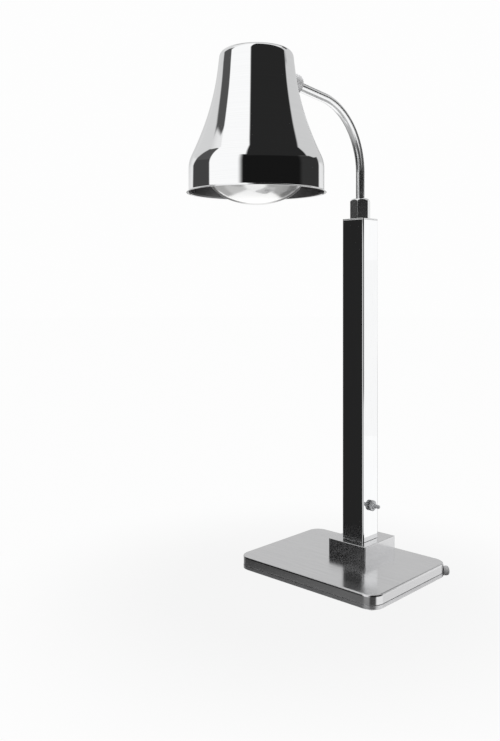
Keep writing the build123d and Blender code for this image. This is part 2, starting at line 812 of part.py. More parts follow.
with BuildPart() as arm_pivot:
    with BuildSketch(post_level(pivot_bottom)):
        Circle(tube_diameter / 2)
    extrude(amount=pivot_height)
    with BuildSketch(post_level(tube_bottom)):
        Circle(tube_bore / 2 - running_fit)
    extrude(amount=pivot_plug)
    with Locations((0, post_y, tube_bottom)):
        Hole(lead_bore / 2)
    with BuildSketch(groove_plane):
        with Locations((groove_bottom + groove_depth, 0)):
            Rectangle(2 * groove_depth, stop_screw_diameter + 2 * seat_gap)
    revolve(axis=post_axis, revolution_arc=groove_arc, mode=Mode.SUBTRACT)
finish(arm_pivot, "arm_pivot")

# Arm tube: up from the pivot, one bend, and a straight run into the boss
with BuildPart() as arm_tube:
    with BuildLine(arm_section) as arm_path:
        rise = Line((0, tube_bottom), (0, bend_start))
        bend = JernArc(rise @ 1, (0, 1), bend_radius, -bend_angle)
        Line(bend @ 1, arm_point(tube_end, 0))
    with BuildSketch(Plane(arm_path.line @ 0, z_dir=arm_path.line % 0)):
        Circle(tube_diameter / 2)
        Circle(tube_bore / 2, mode=Mode.SUBTRACT)
    sweep()
finish(arm_tube, "arm_tube")

# Forms that the shade and the pieces against its wall are cut with
bell_outside = bell(0)
bell_inside = bell(shade_wall)
boss_cutter = bell(-running_fit)
saddle_limit = bell(shade_wall + running_fit)

# Shade: spun bell with a hole for the nipple
with BuildPart() as shade:
    add(bell_outside)
    add(bell_inside, mode=Mode.SUBTRACT)
    with BuildSketch(arm_end):
        Circle(nipple_diameter / 2 + screw_room)
    extrude(amount=boss_end, mode=Mode.SUBTRACT)
finish(shade, "shade")

# Round boss outside the shade, nipple through its wall, and a shaped saddle and nut inside
with BuildPart() as shade_boss:
    with BuildSketch(arm_end.offset(boss_end)):
        Circle(boss_diameter / 2)
    extrude(amount=-boss_end / 2)
    fillet(shade_boss.edges().sort_by(Axis.Y)[-1], boss_round)
    add(boss_cutter, mode=Mode.SUBTRACT)
    with BuildSketch(arm_end.offset(boss_end)):
        Circle(tube_diameter / 2 + running_fit)
    extrude(amount=-(socket_depth + running_fit), mode=Mode.SUBTRACT)
    with BuildSketch(arm_end):
        Circle(nipple_diameter / 2 + running_fit)
    extrude(amount=boss_end, mode=Mode.SUBTRACT)
finish(shade_boss, "shade_boss")

with BuildPart() as shade_nipple:
    with BuildSketch(arm_end.offset(nipple_inner_end)):
        Circle(nipple_diameter / 2)
        Circle(nipple_bore / 2, mode=Mode.SUBTRACT)
    extrude(amount=tube_end - seat_gap - nipple_inner_end)
finish(shade_nipple, "shade_nipple")

with BuildPart() as shade_saddle:
    with BuildSketch(arm_end.offset(saddle_seat)):
        Circle(saddle_diameter / 2)
        Circle(nipple_diameter / 2 + running_fit, mode=Mode.SUBTRACT)
    extrude(amount=neck_radius - saddle_seat)
    add(saddle_limit, mode=Mode.INTERSECT)
finish(shade_saddle, "shade_saddle")

with BuildPart() as nipple_nut:
    with BuildSketch(arm_end.offset(bracket_face)):
        RegularPolygon(nipple_nut_flats / 2, 6, major_radius=False)
        Circle(nipple_diameter / 2 + running_fit, mode=Mode.SUBTRACT)
    extrude(amount=-nipple_nut_height)
finish(nipple_nut, "nipple_nut")

# Holder bracket: bent strip from the nipple, up and over the lamp holder
bracket_top = holder_top + bracket_thickness
bracket_screw_spots = [(0, shade_y - bracket_screw_spread / 2), (0, shade_y + bracket_screw_spread / 2)]

with BuildPart() as holder_bracket:
    with BuildSketch(arm_section):
        with BuildLine():
            Polyline(
                arm_point(saddle_seat, -bracket_below),
                arm_point_at(saddle_seat, bracket_top),
                (shade_reach + bracket_past_axis, bracket_top),
                (shade_reach + bracket_past_axis, holder_top),
                arm_point_at(bracket_face, holder_top),
                arm_point(bracket_face, -bracket_below),
                close=True,
            )
        make_face()
    extrude(amount=bracket_width / 2, both=True)
    with BuildSketch(arm_end):
        Circle(nipple_diameter / 2 + screw_room)
    extrude(amount=boss_end, mode=Mode.SUBTRACT)
    with Locations(*at_height(bracket_screw_spots, bracket_top)):
        Hole(bracket_screw_diameter / 2 + screw_room, depth=2 * bracket_thickness)
finish(holder_bracket, "holder_bracket")

with BuildPart() as bracket_screws:
    with BuildSketch(Plane.XY.offset(bracket_top)):
        with Locations(*bracket_screw_spots):
            Circle(bracket_screw_head / 2)
    extrude(amount=bracket_screw_head_height)
    with BuildSketch(Plane.XY.offset(bracket_top)):
        with Locations(*bracket_screw_spots):
            Circle(bracket_screw_diameter / 2)
    extrude(amount=-bracket_screw_length)
finish(bracket_screws, "bracket_screws")

# Lamp holder: ceramic body, threaded shell and centre contact
shell_radius = cap_diameter / 2 + running_fit + shell_wall
contact_bottom = cap_end + slide_fit
bore_top = contact_bottom + contact_height
lead_stop = (shell_radius + holder_diameter / 2) / 2

with BuildPart() as lamp_holder:
    with BuildSketch(shade_level(holder_bottom)):
        Circle(holder_diameter / 2)
    extrude(amount=holder_top - holder_bottom)
    chamfer(lamp_holder.edges().filter_by(GeomType.CIRCLE), holder_chamfer)
    with BuildSketch(shade_level(holder_bottom)):
        Circle(shell_radius + running_fit)
    extrude(amount=bore_top - holder_bottom, mode=Mode.SUBTRACT)
    with Locations(*at_height(bracket_screw_spots, holder_top)):
        Hole(bracket_screw_diameter / 2 + running_fit, depth=bracket_screw_length - bracket_thickness)
    with BuildSketch(arm_end.offset(lead_stop)):
        Circle(lead_diameter / 2 + running_fit)
    extrude(amount=holder_diameter, mode=Mode.SUBTRACT)
finish(lamp_holder, "lamp_holder")

with BuildPart() as holder_shell:
    with BuildSketch(shade_level(bore_top)):
        Circle(shell_radius)
        Circle(cap_diameter / 2 + running_fit, mode=Mode.SUBTRACT)
    extrude(amount=-shell_height)
finish(holder_shell, "holder_shell")

with BuildPart() as holder_contact:
    with BuildSketch(shade_level(contact_bottom)):
        Circle(contact_radius)
    extrude(amount=contact_height)
finish(holder_contact, "holder_contact")

# Lead through the pivot, the arm and the nipple, and into the lamp holder's side
with BuildPart() as arm_lead:
    with BuildLine(arm_section) as arm_lead_path:
        lower = Line((0, spigot_bottom), (0, bend_start))
        over = JernArc(lower @ 1, (0, 1), bend_radius, -bend_angle)
        Line(over @ 1, arm_point(lead_stop, 0))
    with BuildSketch(Plane(arm_lead_path.line @ 0, z_dir=arm_lead_path.line % 0)):
        Circle(lead_diameter / 2)
    sweep()
finish(arm_lead, "arm_lead")

# Coiled lead between mast and collar, which takes up the post's travel
with BuildPart() as post_lead:
    with BuildSketch(post_level(spigot_bottom - seat_gap)):
        Circle(lead_diameter)
    extrude(amount=mast_top + guide_flange + 2 * seat_gap - spigot_bottom)
finish(post_lead, "post_lead")

# Bulb: blown glass, screw cap, insulator, tip, stem and filament
glass_outside = bulb_form(0)
glass_inside = bulb_form(glass_wall)
glass_top = cap_bottom + glass_in_cap
insulator_bottom = cap_end - tip_height - insulator_height
stem_end = glass_top - stem_flare - stem_length
filament_height = stem_end - filament_drop

with BuildPart() as bulb_glass:
    add(glass_outside)
    add(glass_inside, mode=Mode.SUBTRACT)
finish(bulb_glass, "bulb_glass")

with BuildPart() as bulb_cap:
    with BuildSketch(shade_level(cap_bottom)):
        Circle(cap_diameter / 2)
        Circle(cap_diameter / 2 - cap_wall, mode=Mode.SUBTRACT)
    extrude(amount=insulator_bottom - cap_bottom)
finish(bulb_cap, "bulb_cap")

with BuildPart() as bulb_insulator:
    with Locations((0, shade_y, insulator_bottom)):
        Cone(cap_diameter / 2, tip_radius + insulator_edge, insulator_height, align=on_base)
finish(bulb_insulator, "bulb_insulator")

with BuildPart() as bulb_tip:
    with BuildSketch(shade_level(cap_end)):
        Circle(tip_radius)
    extrude(amount=-tip_height)
finish(bulb_tip, "bulb_tip")

with BuildPart() as bulb_stem:
    with BuildSketch(shade_level(glass_top)):
        Circle(glass_neck_radius - glass_wall - running_fit)
    extrude(amount=-stem_flare)
    with BuildSketch(shade_level(glass_top - stem_flare)):
        Circle(stem_radius)
    extrude(amount=-stem_length)
finish(bulb_stem, "bulb_stem")

with BuildPart() as filament:
    with Locations((0, shade_y, filament_height)):
        Torus(filament_radius, filament_wire / 2)
    with BuildSketch(shade_level(stem_end)):
        with Locations((-filament_leads / 2, 0), (filament_leads / 2, 0)):
            Circle(filament_wire / 2)
    extrude(amount=-(filament_drop + filament_wire / 2))
    for side in (-1, 1):
        lead_foot = (side * filament_leads / 2, shade_y, filament_height)
        with BuildSketch(Plane(lead_foot, x_dir=(0, 1, 0), z_dir=(side, 0, 0))):
            Circle(filament_wire / 2)
        extrude(amount=filament_radius - filament_leads / 2)
finish(filament, "filament")
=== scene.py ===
from math import atan, cos, degrees, pi, radians, sin, sqrt, tan

import bmesh
import bpy
from mathutils import Matrix, Vector


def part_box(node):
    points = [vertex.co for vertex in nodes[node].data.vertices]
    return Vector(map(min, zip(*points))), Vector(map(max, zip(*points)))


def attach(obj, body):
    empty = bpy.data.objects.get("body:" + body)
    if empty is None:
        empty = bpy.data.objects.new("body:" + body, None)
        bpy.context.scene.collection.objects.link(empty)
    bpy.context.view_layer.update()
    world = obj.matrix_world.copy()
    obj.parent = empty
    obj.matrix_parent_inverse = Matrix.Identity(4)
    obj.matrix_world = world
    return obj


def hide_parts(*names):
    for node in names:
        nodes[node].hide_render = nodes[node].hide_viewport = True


# Looks of the food heat lamp. Sizes are in millimetres, in the part's own frame:
# +Z is up and the front is towards -Y.

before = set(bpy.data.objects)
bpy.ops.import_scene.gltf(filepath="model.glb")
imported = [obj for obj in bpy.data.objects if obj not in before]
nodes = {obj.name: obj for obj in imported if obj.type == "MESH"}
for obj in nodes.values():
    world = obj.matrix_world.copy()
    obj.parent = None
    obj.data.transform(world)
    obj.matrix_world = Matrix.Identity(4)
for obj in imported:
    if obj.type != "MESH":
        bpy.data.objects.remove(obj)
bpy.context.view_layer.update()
MM = 0.001


def span(node):
    """Lowest and highest corner of a node, in millimetres."""
    low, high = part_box(node)
    return low / MM, high / MM


# Places read from the frame
shade_low, shade_high = span("shade")
shade_y = (shade_low.y + shade_high.y) / 2
shade_top = shade_high.z
shade_bottom = shade_low.z
post_low, post_high = span("post")
post_y = (post_low.y + post_high.y) / 2
post_half = (post_high.x - post_low.x) / 2
post_top = span("post_cap")[1].z
cover_low, cover_high = span("base_cover")
cover_y = (cover_low.y + cover_high.y) / 2
foot_low, foot_high = span("post_foot")
collar_top = span("arm_collar")[1].z

# Shade, from its top down
shade_segments = 256
shade_wall = 1.0
crown_drop = 3.0
crown_round = 9.0
crown_radius = 44.45
neck_drop = 52.2
neck_radius = 50.2
neck_round = 320.0
flare_hollow = 2.2
flare_step = 4.0
skirt_radius = 82.4
skirt_height = 36.8
shoulder_round = 38.0
shoulder_room = 11.0
lip_height = 1.6
lip_radius = 85.4
lip_round = 1.5
lip_lean = atan((lip_radius - skirt_radius) / lip_height)
edge_outside = 0.15
edge_inside = 0.45

# Bulb
bulb_segments = 192
bulb_radius = 62.5
bulb_face_height = 40.0
bulb_face_steps = 30
bulb_neck_radius = 12.3
bulb_neck_height = 10.0
bulb_side_steps = 24
glow_radius = 45.0
glow_strength = 0.3

# Arm
tube_radius = 6.25
tube_room = 0.1
tube_segments = 72
bend_radius = 93.0
bend_angle = 84.0
bend_turn = radians(bend_angle)
bend_steps = 56
bend_rise = 65.0
straight_hold = 1.0
arm_tilt = radians(90 - bend_angle)
shade_reach = post_y - shade_y
bend_start = post_top + bend_rise
bend_run = bend_radius * (1 - cos(bend_turn))
bend_end = bend_start + bend_radius * sin(bend_turn)
arm_at_axis = bend_end + (shade_reach - bend_run) * tan(arm_tilt)

# Boss between arm and shade
boss_segments = 96
boss_radius = 13.7
boss_root = 4.0
boss_reach = 25.6
boss_end = (neck_radius + boss_reach) / cos(arm_tilt)
boss_round = 3.5
mouth_depth = 3.0
mouth_edge = 0.4

# Hexagonal collar
collar_flats = 25.4
collar_step = 1.1
collar_chamfer = 1.6
collar_turn = radians(-8.5)
collar_edge = 0.45
collar_bevel = 0.2
collar_foot_share = 0.985
collar_low_hold = 0.6
collar_high_hold = 0.7
collar_round = 0.25
collar_mouth_width = 0.5
collar_mouth_depth = 0.35
collar_bore_depth = 3.0

# Post, base and foot
smallest_corner = 0.1
post_corner = 2.0
post_wall = 1.5
sheet_edge = 0.25
cap_edge = 0.4
cap_inside = 8.0
cap_flat = 6.0
base_corner = 18.0
cover_bend = 2.5
cover_wall = 1.2
cover_flat = 9.0
foot_edge = 0.8
foot_wall = 1.5
foot_flat = 6.0
mast_room = 12.8
mast_corner = 2.0

# Cord gland
gland_axis = Vector((sqrt(0.5), sqrt(0.5), 0))
gland_neck_radius = 4.0
gland_dome_radius = 6.25
gland_bore_radius = 3.1
gland_flange_radius = 4.8
gland_flange = 2.2
gland_seat_room = 0.3
gland_gap = 0.1
gland_length = 8.0
gland_dome_round = 3.0
gland_dome_foot = 0.8
gland_mouth_edge = 0.6
gland_flange_edge = 0.3
gland_seat_edge = 0.2
gland_neck_edge = 0.1
gland_segments = 64

# Rubber feet
pad_radius = 7.0
pad_height = 2.5
pad_stem_radius = 2.5
pad_barb_radius = 3.2
pad_barb_height = 2.0
pad_round = 0.8
pad_edge = 0.3
pad_barb_edge = 0.2
pad_segments = 48

# Socket screws in the foot and the collar
shank_radius = 1.5
shank_tip = 0.4
head_seat = 0.15
head_round = 0.6
head_flat = 1.4
socket_half = 1.0
socket_depth = 0.8
stop_radius = 2.0
stop_start = 5.35
stop_sunk = 0.3
stop_tip = 0.4
stop_edge = 0.3
stop_flat = 1.4
stop_socket_depth = 1.6

# Clamp screw
thread_pitch = 0.8
thread_depth = 0.42
thread_slope = 1.6
thread_root = 0.3
stud_taper = 0.7
stud_room = 0.25
stud_segments = 36
steps_per_pitch = 8
wheel_width = 3.5
wheel_room = 0.05
wheel_flutes = 20
flute_radius = 0.7
flute_start = 262
flute_sweep = 164
flute_steps = 6
land_shares = (0.3, 0.5, 0.7)
hub_radius = 4.25
# Edges of the wheel: how far each ring stands in or out, and how far along it lies
rim_chamfer = ((0.45, 0.0), (0.1, 0.15), (0.0, 0.5))
hub_fillet = ((0.5, 0.0), (0.1, 0.15), (0.0, 0.5))
hub_chamfer = ((0.0, 0.5), (0.1, 0.15), (0.4, 0.0))


# Shapes

def rounded(corners, closed=False, step=6.0, support=0.3):
    """Outline through corners (x, y, radius), with an arc at each corner that has a radius.
    A point beside each end of an arc keeps the straight runs flat when they are shaded."""
    points = []
    last = len(corners) - 1
    for i, (x, y, radius) in enumerate(corners):
        corner = Vector((x, y))
        if radius == 0 or (not closed and i in (0, last)):
            points.append(corner)
            continue
        back = (Vector(corners[i - 1][:2]) - corner).normalized()
        ahead = (Vector(corners[(i + 1) % len(corners)][:2]) - corner).normalized()
        half = back.angle(ahead) / 2
        reach = radius / tan(half)
        centre = corner + (back + ahead).normalized() * (radius / sin(half))
        start = corner + back * reach - centre
        turn = pi - 2 * half
        if back.cross(ahead) > 0:
            turn = -turn
        count = max(2, round(degrees(abs(turn)) / step))
        points.append(corner + back * (reach + support))
        for k in range(count + 1):
            points.append(centre + Matrix.Rotation(turn * k / count, 2) @ start)
        points.append(corner + ahead * (reach + support))
    return points


def divided(points, step):
    """The same closed outline, with its long runs divided."""
    result = []
    for i, point in enumerate(points):
        following = points[(i + 1) % len(points)]
        count = max(1, round((following - point).length / step))
        result += [point.lerp(following, k / count) for k in range(count)]
    return result


def circle(radius, height, segments):
    """Ring of points round the local Z axis, or its tip where the radius is 0."""
    if radius < 1e-6:
        return [Vector((0, 0, height))]
    turns = [2 * pi * k / segments for k in range(segments)]
    return [Vector((radius * cos(a), radius * sin(a), height)) for a in turns]


def lathe(outline, segments):
    """Rings of a turned shape, from its outline (radius, height)."""
    return [circle(radius, height, segments) for radius, height in outline]


def box_ring(half_x, half_y, corner, height):
    """Ring of points of a rectangle with rounded corners."""
    signs = ((1, 1), (-1, 1), (-1, -1), (1, -1))
    corners = [(i * half_x, j * half_y, corner) for i, j in signs]
    return [Vector((p.x, p.y, height)) for p in rounded(corners, closed=True, step=7.5)]


def box_rings(half_x, half_y, corner, outline):
    """Rings of a rectangular shape, from its outline (inset, height)."""
    rings = []
    for inset, height in outline:
        rings.append(box_ring(half_x - inset, half_y - inset, max(corner - inset, smallest_corner), height))
    return rings


def moved(rings, matrix):
    """The same rings, placed by a matrix."""
    return [[matrix @ point for point in ring] for ring in rings]


def axis_frame(origin, along):
    """Matrix that puts the local Z axis on a line."""
    return Matrix.Translation(origin) @ Vector(along).to_track_quat("Z", "Y").to_matrix().to_4x4()


def skin(work, rings, wrap=False):
    """Faces between rings of points, as one list for each pair of rings.
    Open ends are closed by flat faces."""
    loops = [[work.verts.new(point * MM) for point in ring] for ring in rings]
    pairs = list(zip(loops, loops[1:]))
    if wrap:
        pairs.append((loops[-1], loops[0]))
    bands = []
    for first, second in pairs:
        band = []
        count = max(len(first), len(second))
        for k in range(count):
            n = k + 1
            around = (
                first[k % len(first)],
                first[n % len(first)],
                second[n % len(second)],
                second[k % len(second)],
            )
            corners = list(dict.fromkeys(around))
            band.append(work.faces.new(corners))
        bands.append(band)
    if not wrap:
        for loop in (loops[0], loops[-1]):
            if len(loop) > 2:
                work.faces.new(loop)
    return bands


def bore(work, faces, matrix, radius, segments=36):
    """Hole from one flat face to another, round the local Z axis of a matrix."""
    rings = []
    for face in faces:
        height = (matrix.inverted() @ (face.calc_center_median() / MM)).z
        ring = [work.verts.new(matrix @ point * MM) for point in circle(radius, height, segments)]
        edges = list(face.edges) + [work.edges.new((ring[k - 1], ring[k])) for k in range(segments)]
        bmesh.ops.delete(work, geom=[face], context="FACES_ONLY")
        bmesh.ops.triangle_fill(work, use_beauty=True, edges=edges)
        rings.append(ring)
    for k in range(segments):
        work.faces.new((rings[0][k - 1], rings[0][k], rings[1][k], rings[1][k - 1]))


def piece(name, work, body, replaced, materials, sharp=40.0):
    """Finished piece, riding on a body in place of its CAD node."""
    bmesh.ops.recalc_face_normals(work, faces=work.faces)
    mesh = bpy.data.meshes.new(name)
    work.to_mesh(mesh)
    work.free()
    mesh.shade_smooth()
    mesh.set_sharp_from_angle(angle=radians(sharp))
    for material in materials:
        mesh.materials.append(material)
    made = bpy.data.objects.new(name, mesh)
    bpy.context.scene.collection.objects.link(made)
    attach(made, body)
    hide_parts(replaced)


# Materials

noise_low = 0.3
noise_high = 0.7
cloud_detail = 3.0


def add(tree, kind, settings=None, values=None):
    """New node with its settings and input values."""
    node = tree.nodes.new(kind)
    for name, value in (settings or {}).items():
        setattr(node, name, value)
    for name, value in (values or {}).items():
        node.inputs[name].default_value = value
    return node


def linear(tone):
    """Linear value of a tone from 0 to 255."""
    level = tone / 255
    if level <= 0.04045:
        return level / 12.92
    return ((level + 0.055) / 1.055) ** 2.4


def shader_of(name):
    """New material, its node tree and its shader."""
    material = bpy.data.materials.new(name)
    material.use_nodes = True
    return material, material.node_tree, material.node_tree.nodes["Principled BSDF"]


def grain_noise(tree, stretch, detail=5.0):
    """Noise in the part's own space, with how often it changes per metre along X, Y and Z."""
    place = add(tree, "ShaderNodeTexCoord")
    mapping = add(tree, "ShaderNodeMapping", values={"Scale": stretch})
    noise = add(tree, "ShaderNodeTexNoise", values={"Scale": 1.0, "Detail": detail, "Roughness": 0.6})
    tree.links.new(place.outputs["Object"], mapping.inputs["Vector"])
    tree.links.new(mapping.outputs["Vector"], noise.inputs["Vector"])
    return noise


def spread(tree, noise, low, high):
    """Value that follows a noise, from low to high."""
    ranged = add(
        tree,
        "ShaderNodeMapRange",
        values={"From Min": noise_low, "From Max": noise_high, "To Min": low, "To Max": high},
    )
    tree.links.new(noise.outputs["Fac"], ranged.inputs["Value"])
    return ranged.outputs["Result"]


def tinted(tree, noise, dark, light):
    """Colour that follows a noise, from dark to light."""
    ramp = add(tree, "ShaderNodeValToRGB")
    ramp.color_ramp.elements[0].position = noise_low
    ramp.color_ramp.elements[0].color = (*dark, 1)
    ramp.color_ramp.elements[1].position = noise_high
    ramp.color_ramp.elements[1].color = (*light, 1)
    tree.links.new(noise.outputs["Fac"], ramp.inputs["Fac"])
    return ramp.outputs["Color"]


def relief(tree, shader, noise, depth):
    """Bump from a noise, with its depth in millimetres."""
    bump = add(tree, "ShaderNodeBump", values={"Strength": 1.0, "Distance": depth * MM})
    tree.links.new(noise.outputs["Fac"], bump.inputs["Height"])
    tree.links.new(bump.outputs["Normal"], shader.inputs["Normal"])


def metal(name, dark, light, smooth, rough, grain, depth, smudge=9.0, bare=1.0):
    """Metal with a grain: its colour goes from dark to light and its roughness from smooth to rough.
    Where less than all of it is bare, the rest is a dull film."""
    material, tree, shader = shader_of(name)
    shader.inputs["Metallic"].default_value = bare
    lines = grain_noise(tree, grain)
    clouds = grain_noise(tree, (smudge, smudge, smudge), cloud_detail)
    tree.links.new(tinted(tree, lines, dark, light), shader.inputs["Base Color"])
    tree.links.new(spread(tree, clouds, smooth, rough), shader.inputs["Roughness"])
    relief(tree, shader, lines, depth)
    return material


def moulded(name, dark, light, smooth, rough, scale, depth):
    """Plastic, rubber or ceramic with a fine grain."""
    material, tree, shader = shader_of(name)
    fine = grain_noise(tree, (scale, scale, scale))
    clouds = grain_noise(tree, (60.0, 60.0, 60.0), cloud_detail)
    tree.links.new(tinted(tree, clouds, dark, light), shader.inputs["Base Color"])
    tree.links.new(spread(tree, fine, smooth, rough), shader.inputs["Roughness"])
    relief(tree, shader, fine, depth)
    return material


polish = (900.0, 900.0, 25.0)
chrome_dark = (0.90, 0.905, 0.91)
chrome_light = (0.945, 0.95, 0.955)
mirror_steel = metal("mirror_steel", chrome_dark, chrome_light, 0.015, 0.035, polish, 0.00002)
shade_chrome = metal("shade_chrome", chrome_dark, chrome_light, 0.02, 0.04, (6.0, 6.0, 900.0), 0.00003)
satin_steel = metal(
    "satin_steel", (0.86, 0.86, 0.87), (0.93, 0.93, 0.94), 0.4, 0.48, (60.0, 60.0, 900.0), 0.0004, bare=0.25
)
# Inside of the bell: half bare metal under a dull film, in a dark tone that paints the shade inside the bell
shade_inside = metal(
    "shade_inside", (0.24, 0.24, 0.245), (0.36, 0.36, 0.365), 0.25, 0.35, (8.0, 8.0, 700.0), 0.002, bare=0.5
)
arm_chrome = metal("arm_chrome", chrome_dark, chrome_light, 0.15, 0.21, polish, 0.00002)
collar_chrome = metal("collar_chrome", chrome_dark, chrome_light, 0.13, 0.18, (40.0, 40.0, 900.0), 0.00005)
base_steel = metal(
    "base_steel", (0.66, 0.66, 0.67), (0.78, 0.78, 0.785), 0.12, 0.2, (18.0, 1500.0, 1500.0), 0.0006
)
plate_steel = metal(
    "plate_steel", (0.58, 0.58, 0.59), (0.72, 0.72, 0.73), 0.25, 0.38, (30.0, 30.0, 900.0), 0.001
)
zinc_steel = metal(
    "zinc_steel", (0.62, 0.63, 0.65), (0.76, 0.77, 0.78), 0.28, 0.42, (400.0, 400.0, 400.0), 0.002, bare=0.6
)
brass = metal("brass", (0.62, 0.44, 0.17), (0.78, 0.58, 0.27), 0.18, 0.34, (500.0, 500.0, 500.0), 0.002)
black_rubber = moulded("black_rubber", (0.012, 0.012, 0.013), (0.03, 0.03, 0.031), 0.55, 0.8, 1800.0, 0.01)
gland_rubber = moulded("gland_rubber", (0.42, 0.42, 0.425), (0.52, 0.52, 0.525), 0.4, 0.6, 1500.0, 0.008)
guide_plastic = moulded("guide_plastic", (0.02, 0.02, 0.022), (0.045, 0.045, 0.047), 0.35, 0.5, 1200.0, 0.004)
white_plastic = moulded("white_plastic", (0.70, 0.69, 0.65), (0.82, 0.81, 0.78), 0.35, 0.5, 900.0, 0.004)
lead_sleeve = moulded("lead_sleeve", (0.62, 0.60, 0.54), (0.80, 0.78, 0.72), 0.6, 0.85, 2200.0, 0.03)
ceramic = moulded("ceramic", (0.74, 0.73, 0.70), (0.86, 0.85, 0.83), 0.15, 0.3, 300.0, 0.006)


def bulb_material():
    """Silvered glass that lets the lamp's light through, most in the middle of its face."""
    material, tree, shader = shader_of("bulb_glass")
    clouds = grain_noise(tree, (22.0, 22.0, 22.0), cloud_detail)
    frost = grain_noise(tree, (2600.0, 2600.0, 2600.0))
    shader.inputs["Metallic"].default_value = 0.9
    shader.inputs["Coat Weight"].default_value = 1.0
    shader.inputs["Coat Roughness"].default_value = 0.03
    tree.links.new(tinted(tree, clouds, (0.88, 0.88, 0.88), (0.95, 0.95, 0.94)), shader.inputs["Base Color"])
    tree.links.new(spread(tree, frost, 0.12, 0.18), shader.inputs["Roughness"])
    relief(tree, shader, frost, 0.0008)
    place = add(tree, "ShaderNodeTexCoord")
    flat = add(
        tree,
        "ShaderNodeMapping",
        values={"Location": (0, -shade_y * MM, 0), "Scale": (1, 1, 0)},
    )
    distance = add(tree, "ShaderNodeVectorMath", {"operation": "LENGTH"})
    glow = add(
        tree,
        "ShaderNodeMapRange",
        {"interpolation_type": "SMOOTHSTEP"},
        {"From Min": 0.0, "From Max": glow_radius * MM, "To Min": glow_strength, "To Max": 0.0},
    )
    tree.links.new(place.outputs["Object"], flat.inputs["Vector"])
    tree.links.new(flat.outputs["Vector"], distance.inputs[0])
    tree.links.new(distance.outputs["Value"], glow.inputs["Value"])
    shader.inputs["Emission Color"].default_value = (1.0, 0.985, 0.96, 1)
    tree.links.new(glow.outputs["Result"], shader.inputs["Emission Strength"])
    return material


bulb_glass = bulb_material()


# Shade

def arc(centre, start, end):
    """Points of an arc round a centre, from start up to end, which is left out."""
    first = start - centre
    turn = -first.angle_signed(end - centre)
    count = max(2, round(abs(turn) * first.length / flare_step))
    return [centre + Matrix.Rotation(turn * k / count, 2) @ first for k in range(count)]


def bell_outline(inset, edge):
    """Corners of the bell's section (radius, height, rounding), from the middle of its crown to its lip."""
    crown = Vector((crown_radius - inset, shade_top - crown_drop - inset))
    neck = Vector((neck_radius - inset, shade_top - neck_drop))
    shoulder = Vector((skirt_radius - inset, shade_bottom + skirt_height))
    chord = shoulder - neck
    half_turn = 2 * atan(2 * flare_hollow / chord.length)
    flare_radius = chord.length / (2 * sin(half_turn))
    across = Vector((-chord.y, chord.x)) / chord.length
    flare_centre = neck + chord / 2 + across * flare_radius * cos(half_turn)
    # The neck's arc touches the straight run below the crown and the flare
    along = (neck - crown).normalized()
    aside = Vector((-along.y, along.x)) * neck_round
    offset = crown + aside - flare_centre
    past = offset.dot(along)
    reach = sqrt(past ** 2 - offset.length_squared + (flare_radius - neck_round) ** 2) - past
    neck_start = crown + along * reach
    neck_centre = neck_start + aside
    neck_end = flare_centre + (neck_centre - flare_centre).normalized() * flare_radius
    curve = arc(neck_centre, neck_start, neck_end) + arc(flare_centre, neck_end, shoulder)
    lip_start = shade_bottom + lip_height - inset * tan(lip_lean / 2)
    corners = [(0, shade_top - inset, 0), (crown.x, crown.y, crown_round - inset)]
    corners += [(spot.x, spot.y, 0) for spot in curve if (spot - shoulder).length > shoulder_room]
    corners.append((shoulder.x, shoulder.y, shoulder_round))
    corners.append((skirt_radius - inset, lip_start, lip_round + inset))
    corners.append((lip_radius - inset / cos(lip_lean), shade_bottom, edge))
    return corners


outside = bell_outline(0, edge_outside)
inside = bell_outline(shade_wall, edge_inside)
section = rounded(outside + inside[::-1], step=3.0, support=0.1)
work = bmesh.new()
bands = skin(work, moved(lathe(section, shade_segments), Matrix.Translation((0, shade_y, 0))))
# The inside faces take the dark inside finish, whose dark tone is painted shade
inner_start = max(i for i in range(len(section)) if section[i].y < shade_bottom + edge_inside)
for band in bands[inner_start:]:
    for face in band:
        face.material_index = 1
piece("shade_bell", work, "arm", "shade", [shade_chrome, shade_inside])

# Bulb
bulb_low, bulb_high = span("bulb_glass")
face_turn = bulb_low.z + bulb_face_height
neck_start = bulb_high.z - bulb_neck_height
half_rise = (neck_start - face_turn) / 2
turn = 2 * atan((bulb_radius - bulb_neck_radius) / (2 * half_rise))
turn_radius = half_rise / sin(turn)
section = []
for k in range(bulb_face_steps + 1):
    a = pi / 2 * k / bulb_face_steps
    section.append((bulb_radius * sin(a), face_turn - bulb_face_height * cos(a)))
for k in range(1, bulb_side_steps + 1):
    a = turn * k / bulb_side_steps
    section.append((bulb_radius - turn_radius * (1 - cos(a)), face_turn + turn_radius * sin(a)))
for k in range(bulb_side_steps - 1, -1, -1):
    a = turn * k / bulb_side_steps
    section.append((bulb_neck_radius + turn_radius * (1 - cos(a)), neck_start - turn_radius * sin(a)))
section.append((bulb_neck_radius, bulb_high.z))
section.append((0, bulb_high.z))
work = bmesh.new()
skin(work, moved(lathe(section, bulb_segments), Matrix.Translation((0, shade_y, 0))))
piece("bulb_envelope", work, "bulb", "bulb_glass", [bulb_glass])

# Arm: straight up, round the bend, and straight into the boss
path = [(post_y, span("arm_tube")[0].z, 0.0), (post_y, bend_start - straight_hold, 0.0)]
for k in range(bend_steps + 1):
    a = bend_turn * k / bend_steps
    path.append((post_y - bend_radius * (1 - cos(a)), bend_start + bend_radius * sin(a), a))
end_length = (shade_reach - bend_run) / cos(arm_tilt) - boss_end + mouth_depth
for length in (straight_hold, end_length - straight_hold, end_length):
    y = post_y - bend_run - length * sin(bend_turn)
    path.append((y, bend_end + length * cos(bend_turn), bend_turn))
rings = []
for y, z, a in path:
    ring = []
    for point in circle(tube_radius, 0, tube_segments):
        ring.append(Vector((point.x, y + point.y * cos(a), z + point.y * sin(a))))
    rings.append(ring)
work = bmesh.new()
skin(work, rings)
piece("arm_pipe", work, "arm", "arm_tube", [arm_chrome])

